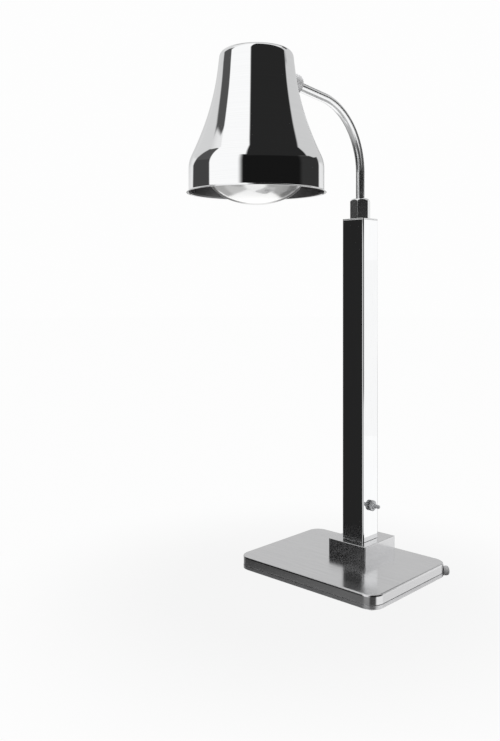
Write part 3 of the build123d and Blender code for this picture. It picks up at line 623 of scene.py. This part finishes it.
# Boss on the arm's end line, from inside the shade's wall to a rounded end with a mouth for the tube
boss_frame = Matrix((
    (1, 0, 0, 0),
    (0, sin(arm_tilt), cos(arm_tilt), shade_y),
    (0, cos(arm_tilt), -sin(arm_tilt), arm_at_axis),
    (0, 0, 0, 1),
))
mouth_radius = tube_radius + tube_room
outline = rounded([
    (boss_radius, neck_radius + boss_root, 0),
    (boss_radius, boss_end, boss_round),
    (mouth_radius, boss_end, mouth_edge),
    (mouth_radius, boss_end - mouth_depth, 0),
], step=6.0, support=0.1)
rings = lathe(outline, boss_segments)
wall_slope = (neck_radius - crown_radius) / (neck_drop - crown_drop)
first_ring = []
for point in rings[0]:
    height = arm_at_axis + point.y * cos(arm_tilt) - neck_radius * sin(arm_tilt)
    wall_radius = crown_radius + (shade_top - crown_drop - height) * wall_slope - shade_wall / 2
    across = sqrt(wall_radius ** 2 - point.x ** 2)
    first_ring.append(Vector((point.x, point.y, (across - point.y * sin(arm_tilt)) / cos(arm_tilt))))
work = bmesh.new()
skin(work, moved([first_ring] + rings, boss_frame))
piece("round_boss", work, "arm", "shade_boss", [satin_steel], sharp=50.0)

# Hexagonal collar: flats, a turned chamfer above them, and a socket for the tube
hexagon = []
for k in range(6):
    a = collar_turn + k * pi / 3
    corner = collar_flats / sqrt(3)
    hexagon.append((corner * cos(a), corner * sin(a), collar_edge))
flats = divided(rounded(hexagon, closed=True, step=12.0, support=0.2), collar_step)
face_radius = collar_flats / 2 - collar_chamfer


def collar_ring(inset, drop):
    """Ring on the collar's flats, at a distance below the chamfer's edge there."""
    ring = []
    for point in flats:
        edge = collar_top - (point.length - face_radius)
        spot = point * (1 - inset / point.length)
        ring.append(Vector((spot.x, spot.y, edge - drop)))
    return ring


def collar_circle(radius, height):
    """Ring of the same points, drawn in to a circle."""
    return [Vector((*(point.normalized() * radius), height)) for point in flats]


rings = [
    [Vector((*(p * collar_foot_share), post_top)) for p in flats],
    [Vector((p.x, p.y, post_top + collar_bevel)) for p in flats],
    [Vector((p.x, p.y, post_top + collar_low_hold)) for p in flats],
    collar_ring(0.0, collar_high_hold),
    collar_ring(0.0, collar_round),
    collar_ring(collar_bevel, -collar_bevel),
    collar_circle(face_radius + collar_bevel, collar_top - collar_bevel),
    collar_circle(face_radius - collar_round, collar_top),
    collar_circle(tube_radius + collar_mouth_width, collar_top),
    collar_circle(mouth_radius, collar_top - collar_mouth_depth),
    collar_circle(mouth_radius, collar_top - collar_bore_depth),
]
work = bmesh.new()
skin(work, moved(rings, Matrix.Translation((0, post_y, 0))))
piece("hex_collar", work, "post", "arm_collar", [collar_chrome], sharp=50.0)

# Post with a hole for the clamp stud, and the post's cap
stud_low, stud_high = span("clamp_screw")
stud_radius = (stud_high.z - stud_low.z) / 2
clamp_frame = axis_frame((0, post_y, (stud_high.z + stud_low.z) / 2), (1, 0, 0))
post_frame = Matrix.Translation((0, post_y, 0))
outline = rounded([
    (0, post_low.z, sheet_edge),
    (0, post_high.z, sheet_edge),
    (post_wall, post_high.z, sheet_edge),
    (post_wall, post_low.z, sheet_edge),
], closed=True, step=22.5, support=0.3)
work = bmesh.new()
bands = skin(work, moved(box_rings(post_half, post_half, post_corner, outline), post_frame), wrap=True)
# The clamp stud goes through the right wall, whose two sides are the largest of the last faces of the bands
right_faces = sorted((band[-1] for band in bands), key=lambda face: face.calc_area())
bore(work, right_faces[-2:], clamp_frame, stud_radius + stud_room)
piece("post_tube", work, "post", "post", [mirror_steel])

outline = rounded([
    (cap_inside, post_high.z, 0),
    (0, post_high.z, sheet_edge),
    (0, post_top, cap_edge),
    (cap_flat, post_top, 0),
], step=22.5, support=0.2)
work = bmesh.new()
skin(work, moved(box_rings(post_half, post_half, post_corner, outline), post_frame))
piece("post_lid", work, "post", "post_cap", [mirror_steel])

# Base cover: folded tray with an opening under the foot
base_half_x = (cover_high.x - cover_low.x) / 2
base_half_y = (cover_high.y - cover_low.y) / 2
outline = rounded([
    (cover_flat, cover_high.z - cover_wall, 0),
    (cover_wall, cover_high.z - cover_wall, cover_bend - cover_wall),
    (cover_wall, cover_low.z, sheet_edge),
    (0, cover_low.z, sheet_edge),
    (0, cover_high.z, cover_bend),
    (cover_flat, cover_high.z, 0),
], step=7.5, support=0.3)
rings = moved(box_rings(base_half_x, base_half_y, base_corner, outline), Matrix.Translation((0, cover_y, 0)))
opening = box_ring(mast_room, mast_room, mast_corner, 0)
for height in (cover_high.z, cover_high.z - cover_wall):
    rings.append([Vector((p.x, p.y + post_y, height)) for p in opening])
work = bmesh.new()
skin(work, rings, wrap=True)
piece("base_tray", work, "base", "base_cover", [base_steel])

# Foot box under the post
foot_half_x = (foot_high.x - foot_low.x) / 2
foot_half_y = (foot_high.y - foot_low.y) / 2
foot_y = (foot_high.y + foot_low.y) / 2
outline = rounded([
    (foot_flat, foot_high.z - foot_wall, 0),
    (foot_wall, foot_high.z - foot_wall, 0),
    (foot_wall, foot_low.z, 0),
    (0, foot_low.z, 0),
    (0, foot_high.z, foot_edge),
    (foot_flat, foot_high.z, 0),
], step=11.25, support=0.3)
rings = moved(box_rings(foot_half_x, foot_half_y, foot_edge, outline), Matrix.Translation((0, foot_y, 0)))
for height in (foot_high.z, foot_high.z - foot_wall):
    rings.append([Vector((p.x, p.y + post_y, height)) for p in opening])
work = bmesh.new()
skin(work, rings, wrap=True)
piece("foot_box", work, "base", "post_foot", [base_steel])


# Screws with a hexagon socket: two in the back of the foot and the stop screw in the collar's back

def socket_screw(work, matrix, outline, socket, depth, segments=48):
    """Screw from its outline (radius, height), with a hexagon socket in its last, flat end."""
    rings = lathe(outline, segments)
    height = outline[-1][1]
    hole = []
    for point in circle(1, 0, segments):
        a = (point.xy.angle_signed(Vector((1, 0))) + pi / 6) % (pi / 3) - pi / 6
        hole.append(Vector((point.x * socket / cos(a), point.y * socket / cos(a), height)))
    rings.append(hole)
    rings.append([point - Vector((0, 0, depth)) for point in hole])
    skin(work, moved(rings, matrix))


screw_low, screw_high = span("foot_screws")
head_radius = (screw_high.z - screw_low.z) / 2
screw_height = (screw_high.z + screw_low.z) / 2
screw_across = (screw_high.x - screw_low.x) / 2 - head_radius
head = rounded([
    (0, screw_low.y - foot_high.y, 0),
    (shank_radius, screw_low.y - foot_high.y, shank_tip),
    (shank_radius, 0, 0),
    (head_radius, 0, head_seat),
    (head_radius, screw_high.y - foot_high.y, head_round),
    (head_flat, screw_high.y - foot_high.y, 0),
], step=15.0, support=0.05)
work = bmesh.new()
for side in (-1, 1):
    place = axis_frame((side * screw_across, foot_high.y, screw_height), (0, 1, 0))
    socket_screw(work, place, head, socket_half, socket_depth)
piece("foot_screw_pair", work, "base", "foot_screws", [zinc_steel], sharp=30.0)

stop_low, stop_high = span("swivel_stop_screw")
stop_along = Vector((cos(pi / 2 + collar_turn), sin(pi / 2 + collar_turn), 0))
stop_end = collar_flats / 2 - stop_sunk
body = rounded([
    (0, stop_start, 0),
    (stop_radius, stop_start, stop_tip),
    (stop_radius, stop_end, stop_edge),
    (stop_flat, stop_end, 0),
], step=22.5, support=0.05)
stop_frame = axis_frame((0, post_y, (stop_low.z + stop_high.z) / 2), stop_along)
work = bmesh.new()
socket_screw(work, stop_frame, body, socket_half, stop_socket_depth)
piece("stop_screw", work, "post", "swivel_stop_screw", [zinc_steel], sharp=30.0)

# Clamp stud with its thread, and the fluted wheel on it
count = int((stud_high.x - stud_low.x) / thread_pitch * steps_per_pitch)
rings = []
for i in range(count + 1):
    height = stud_low.x + (stud_high.x - stud_low.x) * i / count
    near_end = min(stud_high.x - height, stud_taper) / stud_taper
    ring = []
    for k in range(stud_segments):
        a = 2 * pi * k / stud_segments
        phase = (height / thread_pitch - k / stud_segments) % 1
        crest = min(1.0, max(0.0, thread_slope * (1 - abs(2 * phase - 1)) - thread_root))
        radius = stud_radius - thread_depth * (1 - crest)
        radius = min(radius, stud_radius - stud_taper * (1 - near_end))
        ring.append(Vector((radius * cos(a), radius * sin(a), height)))
    rings.append(ring)
work = bmesh.new()
skin(work, moved(rings, clamp_frame))
piece("clamp_stud", work, "clamp_knob", "clamp_screw", [zinc_steel], sharp=60.0)

wheel_low, wheel_high = span("thumb_wheel")
wheel_radius = (wheel_high.z - wheel_low.z) / 2
wheel_end = wheel_low.x + wheel_width
rim = []
for k in range(wheel_flutes):
    middle = 2 * pi * k / wheel_flutes
    centre = Vector((cos(middle), sin(middle))) * wheel_radius
    for i in range(flute_steps + 1):
        a = middle + radians(flute_start - flute_sweep * i / flute_steps)
        rim.append(centre + Vector((cos(a), sin(a))) * flute_radius)
    for share in land_shares:
        a = middle + 2 * pi / wheel_flutes * share
        rim.append(Vector((cos(a), sin(a))) * wheel_radius)


def rim_ring(inset, height):
    """Ring of the wheel's fluted rim."""
    scale = 1 - inset / wheel_radius
    return [Vector((p.x * scale, p.y * scale, height)) for p in rim]


def hub_ring(radius, height):
    """Ring of the same points on a circle."""
    return [Vector((*(p.normalized() * radius), height)) for p in rim]


wheel_bore = stud_radius + wheel_room
rings = [hub_ring(wheel_bore, wheel_low.x), hub_ring(hub_radius, wheel_low.x)]
rings += [rim_ring(inset, wheel_low.x + along) for inset, along in rim_chamfer]
rings += [rim_ring(inset, wheel_end - along) for inset, along in rim_chamfer[::-1]]
rings += [hub_ring(hub_radius + out, wheel_end + along) for out, along in hub_fillet]
rings += [hub_ring(hub_radius - inset, wheel_high.x - along) for inset, along in hub_chamfer]
rings.append(hub_ring(wheel_bore, wheel_high.x))
work = bmesh.new()
skin(work, moved(rings, clamp_frame), wrap=True)
piece("fluted_wheel", work, "clamp_knob", "thumb_wheel", [zinc_steel])

# Cord gland: soft dome outside the corner, with its neck in the seam and a flange inside
gland_low, gland_high = span("cord_gland")
gland_height = (gland_low.z + gland_high.z) / 2
gland_spot = Vector((cover_high.x - base_corner, cover_high.y - base_corner, gland_height))
gland_seat = sqrt((base_corner - cover_wall) ** 2 - gland_flange_radius ** 2) - gland_seat_room
gland_start = base_corner + gland_gap
gland_end = gland_start + gland_length
outline = rounded([
    (gland_bore_radius, gland_seat - gland_flange, gland_seat_edge),
    (gland_flange_radius, gland_seat - gland_flange, gland_flange_edge),
    (gland_flange_radius, gland_seat, gland_seat_edge),
    (gland_neck_radius, gland_seat, gland_neck_edge),
    (gland_neck_radius, gland_start, gland_neck_edge),
    (gland_dome_radius, gland_start, gland_dome_foot),
    (gland_dome_radius, gland_end, gland_dome_round),
    (gland_bore_radius, gland_end, gland_mouth_edge),
], closed=True, step=10.0, support=0.05)
work = bmesh.new()
skin(work, moved(lathe(outline, gland_segments), axis_frame(gland_spot, gland_axis)), wrap=True)
piece("gland_bush", work, "base", "cord_gland", [gland_rubber])

# Rubber feet
pad_low, pad_high = span("rubber_feet")
outline = rounded([
    (0, 0, 0),
    (pad_radius, 0, pad_round),
    (pad_radius, pad_height, pad_edge),
    (pad_stem_radius, pad_height, 0),
    (pad_stem_radius, pad_high.z - pad_barb_height, 0),
    (pad_barb_radius, pad_high.z - pad_barb_height, pad_barb_edge),
    (pad_stem_radius, pad_high.z, pad_barb_edge),
    (0, pad_high.z, 0),
], step=12.0, support=0.1)
work = bmesh.new()
for x in (pad_low.x + pad_radius, pad_high.x - pad_radius):
    for y in (pad_low.y + pad_radius, pad_high.y - pad_radius):
        skin(work, moved(lathe(outline, pad_segments), Matrix.Translation((x, y, 0))))
piece("rubber_pads", work, "base", "rubber_feet", [black_rubber])

# Nodes that keep their own mesh, by the material they are made of
kept_nodes = {
    plate_steel: ("base_plate",),
    zinc_steel: (
        "cover_posts", "cover_screws", "mast_flange", "flange_bolts", "flange_spacers", "flange_nuts",
        "mast", "block_screw", "terminal_screws", "earth_stud", "earth_nut", "clamp_nut", "collar_nut",
        "shade_saddle", "nipple_nut", "shade_nipple", "holder_bracket", "bracket_screws", "filament",
    ),
    brass: ("clamp_pad", "arm_pivot", "holder_shell", "holder_contact", "bulb_cap", "bulb_tip"),
    guide_plastic: ("mast_guide", "post_guide", "wire_grommet", "bulb_insulator"),
    white_plastic: ("terminal_block",),
    lead_sleeve: ("base_lead", "post_lead", "arm_lead"),
    ceramic: ("lamp_holder",),
    bulb_glass: ("bulb_stem",),
}
for material, names in kept_nodes.items():
    for name in names:
        slots = nodes[name].data.materials
        slots.clear()
        slots.append(material)

# Floor: pale, and white to the camera away from the lamp, so that only its shadow shows.
# The shadow fades between two distances from the lamp, in metres.
floor_rings = (0, 400, 1200, 9000)
floor_segments = 64
shadow_near = 0.12
shadow_far = 0.45
white_share = 0.93
work = bmesh.new()
skin(work, [circle(radius, 0, floor_segments) for radius in floor_rings])
mesh = bpy.data.meshes.new("floor")
work.to_mesh(mesh)
work.free()
floor = bpy.data.objects.new("floor", mesh)
bpy.context.scene.collection.objects.link(floor)
floor.visible_glossy = False
material, tree, shader = shader_of("floor_paper")
paper = grain_noise(tree, (90.0, 90.0, 90.0))
tree.links.new(tinted(tree, paper, (0.90, 0.90, 0.90), (0.92, 0.92, 0.92)), shader.inputs["Base Color"])
shader.inputs["Roughness"].default_value = 0.9
shader.inputs["Specular IOR Level"].default_value = 0.1
white = add(tree, "ShaderNodeEmission", values={"Color": (1, 1, 1, 1), "Strength": 0.98})
rays = add(tree, "ShaderNodeLightPath")
place = add(tree, "ShaderNodeTexCoord")
distance = add(tree, "ShaderNodeVectorMath", {"operation": "LENGTH"})
fade = add(
    tree,
    "ShaderNodeMapRange",
    {"interpolation_type": "SMOOTHSTEP"},
    {"From Min": shadow_near, "From Max": shadow_far, "To Min": white_share, "To Max": 1.0},
)
share = add(tree, "ShaderNodeMath", {"operation": "MULTIPLY"})
mixed = add(tree, "ShaderNodeMixShader")
tree.links.new(place.outputs["Object"], distance.inputs[0])
tree.links.new(distance.outputs["Value"], fade.inputs["Value"])
tree.links.new(fade.outputs["Result"], share.inputs[0])
tree.links.new(rays.outputs["Is Camera Ray"], share.inputs[1])
tree.links.new(share.outputs["Value"], mixed.inputs[0])
tree.links.new(shader.outputs["BSDF"], mixed.inputs[1])
tree.links.new(white.outputs["Emission"], mixed.inputs[2])
tree.links.new(mixed.outputs["Shader"], tree.nodes["Material Output"].inputs["Surface"])
mesh.materials.append(material)

# Studio round the lamp. The camera sees white; polished metal sees pale walls with dark and white cards
# before them. Each card has its middle azimuth at its lower edge, half its width, the softness of its sides
# and how far it leans per degree upwards, then its lower and upper elevation and the softness of those edges,
# all in degrees, and its tone. Later cards hang before earlier ones.
wall_tone = 232
room_level = 0.8
white_level = 0.985
cards = [
    # The floor: pale straight below and grey all round
    (0, 200, 1, 0, -95, -72, 8, 252),
    (-110, 66, 26, 0, -72, -38, 8, 170),
    (-110, 66, 26, 0, -40, -18, 8, 118),
    (10, 62, 20, 0, -76, -50, 5, 178),
    (172, 26, 8, 0, -72, -40, 6, 200),
    (172, 26, 8, 0, -42, -4, 6, 172),
    (85, 36, 8, 0, -72, -48, 6, 170),
    (85, 36, 8, 0, -50, -37, 4, 160),
    (95, 26, 8, 0, -39, -5, 4, 118),
    # White strip on the floor behind the lamp, wider towards the lamp's foot
    (118, 12, 6, 0, -22, 3, 5, 190),
    (134, 13, 4, 0, -75, -18, 5, 255),
    (143, 13, 4, 0, -22, 3, 5, 255),
    (156, 12, 4, -0.4, -72, -10, 5, 255),
    (110, 12, 4, 0.45, -72, -10, 5, 255),
    # Grey strip far behind the lamp, low down, and paler in its middle
    (134, 30, 6, 0, -17, 3, 4, 95),
    (132, 5, 6, 0, -18, 4, 4, 215),
    # White strip on the floor to the right
    (20, 32, 8, 0, -52, -9, 6, 252),
    # At the height of the post
    (-38, 26, 14, 0, -32, 5, 5, 70),
    (-133, 24, 6, 0, -20, 6.2, 1, 36),
    (-170, 14, 8, 0, -22, 4, 4, 90),
    (20, 26, 8, 0, -8, 5.3, 2, 105),
    (55, 8.5, 2, 0, -17.6, 5.2, 0.5, 254),
    # Walls at the back, on the right and on the left
    (133, 34, 20, 0, 8, 34, 8, 208),
    (133, 40, 10, 0, 45, 62, 6, 165),
    (80, 34, 16, 0, 12, 48, 4, 203),
    (-172, 24, 20, 0, 18, 52, 4, 210),
    # Dark card on the left, leaning over
    (-158, 27, 5, 0.9, 3, 21, 3, 66),
    (-146, 27, 5, 0.9, 16, 38.5, 2, 80),
    (-142, 12, 3, 2.5, 37, 44, 1.5, 80),
    # White card
    (-99, 33, 3, 0, 6.2, 100, 1, 252),
    # Grey card on the right, leaning over
    (52, 30, 6, 0, 5.3, 20, 0.5, 50),
    (52, 30, 6, -3.2, 16, 24, 3, 48),
    # Black card
    (-21, 53, 11, 0, 3.5, 27, 2, 22),
    (-7, 58, 5, 0, 23, 100, 4, 38),
    # Narrow dark card on the right
    (96, 20, 8, 0, 36, 46, 2, 70),
]
metal_light = 1.05
world = bpy.data.worlds.new("studio")
bpy.context.scene.world = world
world.use_nodes = True
world.cycles.sampling_method = "NONE"
tree = world.node_tree
tree.nodes.clear()
place = add(tree, "ShaderNodeTexCoord")
parts = add(tree, "ShaderNodeSeparateXYZ")
azimuth = add(tree, "ShaderNodeMath", {"operation": "ARCTAN2"})
elevation = add(tree, "ShaderNodeMath", {"operation": "ARCSINE"})
tree.links.new(place.outputs["Generated"], parts.inputs["Vector"])
tree.links.new(parts.outputs["Y"], azimuth.inputs[0])
tree.links.new(parts.outputs["X"], azimuth.inputs[1])
tree.links.new(parts.outputs["Z"], elevation.inputs[0])


def within(angle, middle, half, soft):
    """Share that is 1 within half a width of an angle and falls to 0 over its soft side, all in degrees."""
    away = add(tree, "ShaderNodeMath", {"operation": "SUBTRACT"}, {1: radians(middle)})
    turned = add(tree, "ShaderNodeMath", {"operation": "WRAP"}, {1: pi, 2: -pi})
    size = add(tree, "ShaderNodeMath", {"operation": "ABSOLUTE"})
    share = add(
        tree,
        "ShaderNodeMapRange",
        {"interpolation_type": "SMOOTHSTEP"},
        {
            "From Min": radians(half - soft / 2),
            "From Max": radians(half + soft / 2),
            "To Min": 1.0,
            "To Max": 0.0,
        },
    )
    tree.links.new(angle.outputs["Value"], away.inputs[0])
    tree.links.new(away.outputs["Value"], turned.inputs[0])
    tree.links.new(turned.outputs["Value"], size.inputs[0])
    tree.links.new(size.outputs["Value"], share.inputs["Value"])
    return share.outputs["Result"]


def grey(tone):
    """Light that a wall or card of this tone sends out."""
    level = linear(tone) * metal_light
    return (level, level, level, 1)


seen = None
for middle, half, soft, lean, low, high, edge, tone in cards:
    share = add(tree, "ShaderNodeMath", {"operation": "MULTIPLY"})
    upright = azimuth
    if lean != 0:
        upright = add(tree, "ShaderNodeMath", {"operation": "MULTIPLY_ADD"}, {1: -lean})
        tree.links.new(elevation.outputs["Value"], upright.inputs[0])
        tree.links.new(azimuth.outputs["Value"], upright.inputs[2])
    tree.links.new(within(upright, middle - lean * low, half, soft), share.inputs[0])
    tree.links.new(within(elevation, (low + high) / 2, (high - low) / 2, edge), share.inputs[1])
    hung = add(tree, "ShaderNodeMix", {"data_type": "RGBA"}, {6: grey(wall_tone), 7: grey(tone)})
    tree.links.new(share.outputs["Value"], hung.inputs["Factor"])
    if seen is not None:
        tree.links.new(seen, hung.inputs[6])
    seen = hung.outputs[2]
rays = add(tree, "ShaderNodeLightPath")
to_camera = add(tree, "ShaderNodeMath", {"operation": "MAXIMUM"})
for_metal = add(tree, "ShaderNodeMix", {"data_type": "RGBA"})
for_metal.inputs[6].default_value = (room_level, room_level, room_level, 1)
for_camera = add(tree, "ShaderNodeMix", {"data_type": "RGBA"})
for_camera.inputs[7].default_value = (white_level, white_level, white_level, 1)
background = add(tree, "ShaderNodeBackground")
output = add(tree, "ShaderNodeOutputWorld")
tree.links.new(rays.outputs["Is Glossy Ray"], for_metal.inputs["Factor"])
tree.links.new(seen, for_metal.inputs[7])
tree.links.new(rays.outputs["Is Camera Ray"], to_camera.inputs[0])
tree.links.new(rays.outputs["Is Transmission Ray"], to_camera.inputs[1])
tree.links.new(to_camera.outputs["Value"], for_camera.inputs["Factor"])
tree.links.new(for_metal.outputs[2], for_camera.inputs[6])
tree.links.new(for_camera.outputs[2], background.inputs["Color"])
tree.links.new(background.outputs["Background"], output.inputs["Surface"])

# Two cards that stand near the lamp and show only in its metal: a dark one in front and a white one at the
# back. Each has its azimuth in degrees, half its width, its height and its tone.
card_distance = 1000
standing_cards = (("dark_card", -126, 300, 550, 36), ("white_card", 55, 170, 460, 250))
for name, turn, half, top, tone in standing_cards:
    facing = Matrix.Translation((0, post_y, 0)) @ Matrix.Rotation(radians(turn), 4, "Z")
    corners = ((-half, 0), (half, 0), (half, top), (-half, top))
    spots = [facing @ Vector((card_distance, across, height)) for across, height in corners]
    work = bmesh.new()
    work.faces.new([work.verts.new(spot * MM) for spot in spots])
    mesh = bpy.data.meshes.new(name)
    work.to_mesh(mesh)
    work.free()
    material, tree, shader = shader_of(name)
    shader.inputs["Base Color"].default_value = (0, 0, 0, 1)
    shader.inputs["Specular IOR Level"].default_value = 0.0
    shader.inputs["Emission Color"].default_value = grey(tone)
    shader.inputs["Emission Strength"].default_value = 1.0
    mesh.materials.append(material)
    standing = bpy.data.objects.new(name, mesh)
    bpy.context.scene.collection.objects.link(standing)
    standing.visible_camera = False
    standing.visible_diffuse = False
    standing.visible_shadow = False

# Soft lamp overhead
light = bpy.data.lights.new("softbox", "AREA")
light.shape = "DISK"
light.size = 1.4
light.energy = 16.0
softbox = bpy.data.objects.new("softbox", light)
softbox.location = Vector((-0.35, -0.25, 1.7))
softbox.rotation_euler = (-softbox.location).to_track_quat("-Z", "Y").to_euler()
softbox.visible_glossy = False
bpy.context.scene.collection.objects.link(softbox)

# Camera
view = bpy.data.cameras.new("view")
view.lens = 39.01
view.sensor_width = 36.0
view.shift_y = -0.1154
view.clip_end = 50.0
camera = bpy.data.objects.new("camera", view)
camera.location = (0.6629, -0.80495, 0.395)
camera.rotation_euler = Vector((-0.6845, 0.729, 0.0)).to_track_quat("-Z", "Y").to_euler()
bpy.context.scene.collection.objects.link(camera)
bpy.context.scene.camera = camera
bpy.context.scene.view_settings.view_transform = "Standard"
